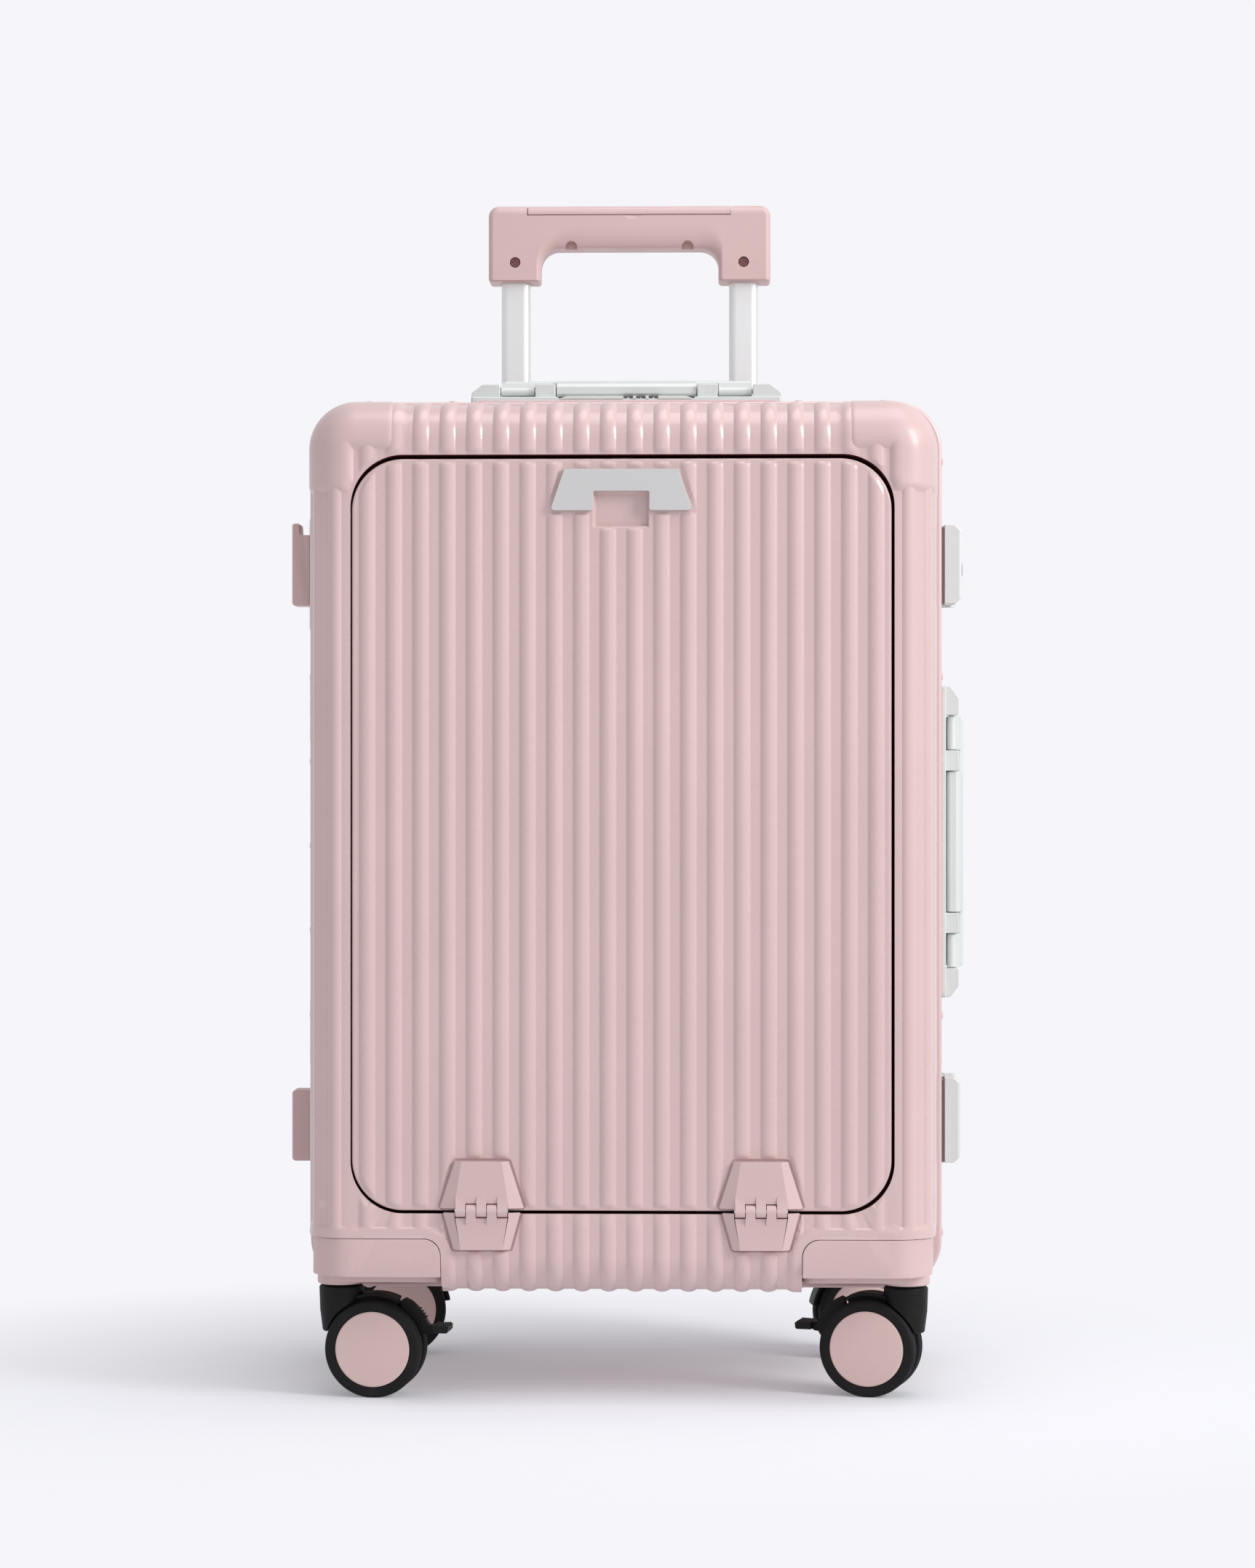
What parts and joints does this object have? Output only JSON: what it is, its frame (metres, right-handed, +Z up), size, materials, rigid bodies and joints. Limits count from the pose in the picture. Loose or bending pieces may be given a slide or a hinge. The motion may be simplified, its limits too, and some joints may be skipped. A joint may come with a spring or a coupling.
{
  "type": "hard-shell cabin suitcase",
  "caption": "Ribbed hard-shell cabin suitcase: framed clamshell case with a fold-down front door, telescopic handle, carry handles, side latches and braked twin-wheel casters.",
  "frame": {"origin": "centre of the case's footprint on the floor under the wheels", "axes": "+X to the right seen from the front door, +Y to the back where the telescopic handle is, +Z up"},
  "size_m": [0.3739, 0.2328, 0.6615],
  "materials": {
    "shell_pink": "satin moulded polycarbonate, fine grain",
    "trim_pink": "smooth satin moulded plastic",
    "frame_pink": "satin painted aluminium",
    "satin_metal": "bead-blasted satin silver",
    "steel": "plain steel",
    "tube_metal": "anodised satin",
    "dial_black": "black moulded, white digits",
    "lining": "woven polyester lining",
    "caster_black": "black moulded nylon, fine grain",
    "wheel_black": "black soft tread with a pink hub cap"
  },
  "bodies": {
    "rear_case": {"rear_shell": "shell_pink", "rear_frame": "frame_pink", "case_hinge_pin": "steel", "corner_protector_rear_left": "trim_pink", "corner_protector_rear_right": "trim_pink", "caster_housing_rear_left": "trim_pink", "caster_housing_rear_right": "trim_pink", "trolley_outer_tube_left": "tube_metal", "trolley_outer_tube_right": "tube_metal", "trolley_well": "trim_pink", "top_handle_base": "satin_metal", "side_handle_base": "satin_metal", "upper_latch_base": "satin_metal", "lower_latch_base": "satin_metal", "bag_hook": "trim_pink", "side_foot": "trim_pink"},
    "front_case": {"front_shell": "shell_pink", "front_frame": "frame_pink", "corner_protector_front_left": "trim_pink", "corner_protector_front_right": "trim_pink", "caster_housing_front_left": "trim_pink", "caster_housing_front_right": "trim_pink", "door_hinge_lower_leaf_left": "trim_pink", "door_hinge_lower_leaf_right": "trim_pink", "door_hinge_pin_left": "steel", "door_hinge_pin_right": "steel", "pocket_panel": "lining"},
    "door": {"front_door": "shell_pink", "door_hinge_upper_leaf_left": "trim_pink", "door_hinge_upper_leaf_right": "trim_pink"},
    "door_latch": {"door_latch_plate": "satin_metal"},
    "door_bolt": {"door_latch_bolt": "steel"},
    "upper_latch": {"upper_latch_lever": "satin_metal"},
    "lower_latch": {"lower_latch_lever": "satin_metal"},
    "key": {"key_cylinder": "steel"},
    "top_handle": {"top_handle_bail": "satin_metal"},
    "side_handle": {"side_handle_bail": "satin_metal"},
    "dial_left": {"number_dial_left": "dial_black"},
    "dial_middle": {"number_dial_middle": "dial_black"},
    "dial_right": {"number_dial_right": "dial_black"},
    "trolley_middle": {"trolley_middle_tube_left": "tube_metal", "trolley_middle_tube_right": "tube_metal"},
    "trolley_inner": {"trolley_inner_tube_left": "tube_metal", "trolley_inner_tube_right": "tube_metal", "trolley_grip": "trim_pink"},
    "push_bar": {"trolley_push_bar": "trim_pink"},
    "caster_front_left": {"caster_fork_front_left": "caster_black"},
    "wheel_front_left_a": {"wheel_front_left_a": "wheel_black"},
    "wheel_front_left_b": {"wheel_front_left_b": "wheel_black"},
    "brake_front_left": {"brake_lever_front_left": "caster_black"},
    "caster_front_right": {"caster_fork_front_right": "caster_black"},
    "wheel_front_right_a": {"wheel_front_right_a": "wheel_black"},
    "wheel_front_right_b": {"wheel_front_right_b": "wheel_black"},
    "brake_front_right": {"brake_lever_front_right": "caster_black"},
    "caster_rear_left": {"caster_fork_rear_left": "caster_black"},
    "wheel_rear_left_a": {"wheel_rear_left_a": "wheel_black"},
    "wheel_rear_left_b": {"wheel_rear_left_b": "wheel_black"},
    "caster_rear_right": {"caster_fork_rear_right": "caster_black"},
    "wheel_rear_right_a": {"wheel_rear_right_a": "wheel_black"},
    "wheel_rear_right_b": {"wheel_rear_right_b": "wheel_black"}
  },
  "joints": [
    {"name": "case_opening", "type": "hinge", "parent": "rear_case", "child": "front_case", "pos_m": [-0.1742, -0.004, 0.28], "axis": [0, 0, -1], "range_deg": [0, 90]},
    {"name": "door_opening", "type": "hinge", "parent": "front_case", "child": "door", "pos_m": [0, -0.1156, 0.1038], "axis": [1, 0, 0], "range_deg": [0, 90]},
    {"name": "door_latch_pull", "type": "hinge", "parent": "door", "child": "door_latch", "pos_m": [0, -0.1133, 0.4938], "axis": [-1, 0, 0], "range_deg": [0, 35], "stiffness_Nm_per_rad": 0.05},
    {"name": "door_bolt_slide", "type": "slide", "parent": "door", "child": "door_bolt", "axis": [0, 0, -1], "range_m": [0, 0.003]},
    {"name": "upper_latch_flip", "type": "hinge", "parent": "rear_case", "child": "upper_latch", "pos_m": [0.18, 0.0115, 0.4489], "axis": [0, 0, 1], "range_deg": [0, 100]},
    {"name": "lower_latch_flip", "type": "hinge", "parent": "rear_case", "child": "lower_latch", "pos_m": [0.18, 0.0115, 0.14235], "axis": [0, 0, 1], "range_deg": [0, 100]},
    {"name": "key_turn", "type": "hinge", "parent": "upper_latch", "child": "key", "pos_m": [0.186, -0.003, 0.447], "axis": [1, 0, 0], "range_deg": [0, 90]},
    {"name": "top_handle_lift", "type": "hinge", "parent": "rear_case", "child": "top_handle", "pos_m": [0, 0.0065, 0.547], "axis": [1, 0, 0], "range_deg": [0, 90]},
    {"name": "side_handle_lift", "type": "hinge", "parent": "rear_case", "child": "side_handle", "pos_m": [0.181, 0.0065, 0.296], "axis": [0, 0, -1], "range_deg": [0, 90]},
    {"name": "dial_left_turn", "type": "hinge", "parent": "rear_case", "child": "dial_left", "pos_m": [0.0081, 0.0006, 0.5402], "axis": [1, 0, 0], "continuous": true},
    {"name": "dial_middle_turn", "type": "hinge", "parent": "rear_case", "child": "dial_middle", "pos_m": [0.0081, 0.0006, 0.5402], "axis": [1, 0, 0], "continuous": true},
    {"name": "dial_right_turn", "type": "hinge", "parent": "rear_case", "child": "dial_right", "pos_m": [0.0081, 0.0006, 0.5402], "axis": [1, 0, 0], "continuous": true},
    {"name": "trolley_middle_slide", "type": "slide", "parent": "rear_case", "child": "trolley_middle", "axis": [0, 0, 1], "range_m": [0, 0.18]},
    {"name": "trolley_inner_slide", "type": "slide", "parent": "trolley_middle", "child": "trolley_inner", "axis": [0, 0, 1], "range_m": [-0.118, 0.17]},
    {"name": "trolley_button_press", "type": "slide", "parent": "trolley_inner", "child": "push_bar", "axis": [0, 0, -1], "range_m": [0, 0.004], "stiffness_N_per_m": 600, "springref_m": -0.003},
    {"name": "swivel_front_left", "type": "hinge", "parent": "front_case", "child": "caster_front_left", "pos_m": [-0.1516, -0.0705, 0.06], "axis": [0, 0, 1], "continuous": true},
    {"name": "roll_front_left_a", "type": "hinge", "parent": "caster_front_left", "child": "wheel_front_left_a", "pos_m": [-0.13261, -0.0725, 0.02587], "axis": [0.1045, 0.9945, 0], "continuous": true},
    {"name": "roll_front_left_b", "type": "hinge", "parent": "caster_front_left", "child": "wheel_front_left_b", "pos_m": [-0.13261, -0.0725, 0.02587], "axis": [0.1045, 0.9945, 0], "continuous": true},
    {"name": "brake_press_front_left", "type": "hinge", "parent": "caster_front_left", "child": "brake_front_left", "pos_m": [-0.11648, -0.07419, 0.04992], "axis": [0.1045, 0.9945, 0], "range_deg": [0, 9]},
    {"name": "swivel_front_right", "type": "hinge", "parent": "front_case", "child": "caster_front_right", "pos_m": [0.1516, -0.0705, 0.06], "axis": [0, 0, 1], "continuous": true},
    {"name": "roll_front_right_a", "type": "hinge", "parent": "caster_front_right", "child": "wheel_front_right_a", "pos_m": [0.13315, -0.06556, 0.02587], "axis": [-0.2588, -0.9659, 0], "continuous": true},
    {"name": "roll_front_right_b", "type": "hinge", "parent": "caster_front_right", "child": "wheel_front_right_b", "pos_m": [0.13315, -0.06556, 0.02587], "axis": [-0.2588, -0.9659, 0], "continuous": true},
    {"name": "brake_press_front_right", "type": "hinge", "parent": "caster_front_right", "child": "brake_front_right", "pos_m": [0.11749, -0.06136, 0.04992], "axis": [-0.2588, -0.9659, 0], "range_deg": [0, 9]},
    {"name": "swivel_rear_left", "type": "hinge", "parent": "rear_case", "child": "caster_rear_left", "pos_m": [-0.1516, 0.0705, 0.06], "axis": [0, 0, 1], "continuous": true},
    {"name": "roll_rear_left_a", "type": "hinge", "parent": "caster_rear_left", "child": "wheel_rear_left_a", "pos_m": [-0.13279, 0.07382, 0.02587], "axis": [-0.1736, 0.9848, 0], "continuous": true},
    {"name": "roll_rear_left_b", "type": "hinge", "parent": "caster_rear_left", "child": "wheel_rear_left_b", "pos_m": [-0.13279, 0.07382, 0.02587], "axis": [-0.1736, 0.9848, 0], "continuous": true},
    {"name": "swivel_rear_right", "type": "hinge", "parent": "rear_case", "child": "caster_rear_right", "pos_m": [0.1516, 0.0705, 0.06], "axis": [0, 0, 1], "continuous": true},
    {"name": "roll_rear_right_a", "type": "hinge", "parent": "caster_rear_right", "child": "wheel_rear_right_a", "pos_m": [0.13279, 0.06718, 0.02587], "axis": [0.1736, -0.9848, 0], "continuous": true},
    {"name": "roll_rear_right_b", "type": "hinge", "parent": "caster_rear_right", "child": "wheel_rear_right_b", "pos_m": [0.13279, 0.06718, 0.02587], "axis": [0.1736, -0.9848, 0], "continuous": true}
  ],
  "couplings": [
    {"joint": "door_bolt_slide", "follows": "door_latch_pull", "m_per_rad": 0.0049}
  ]
}
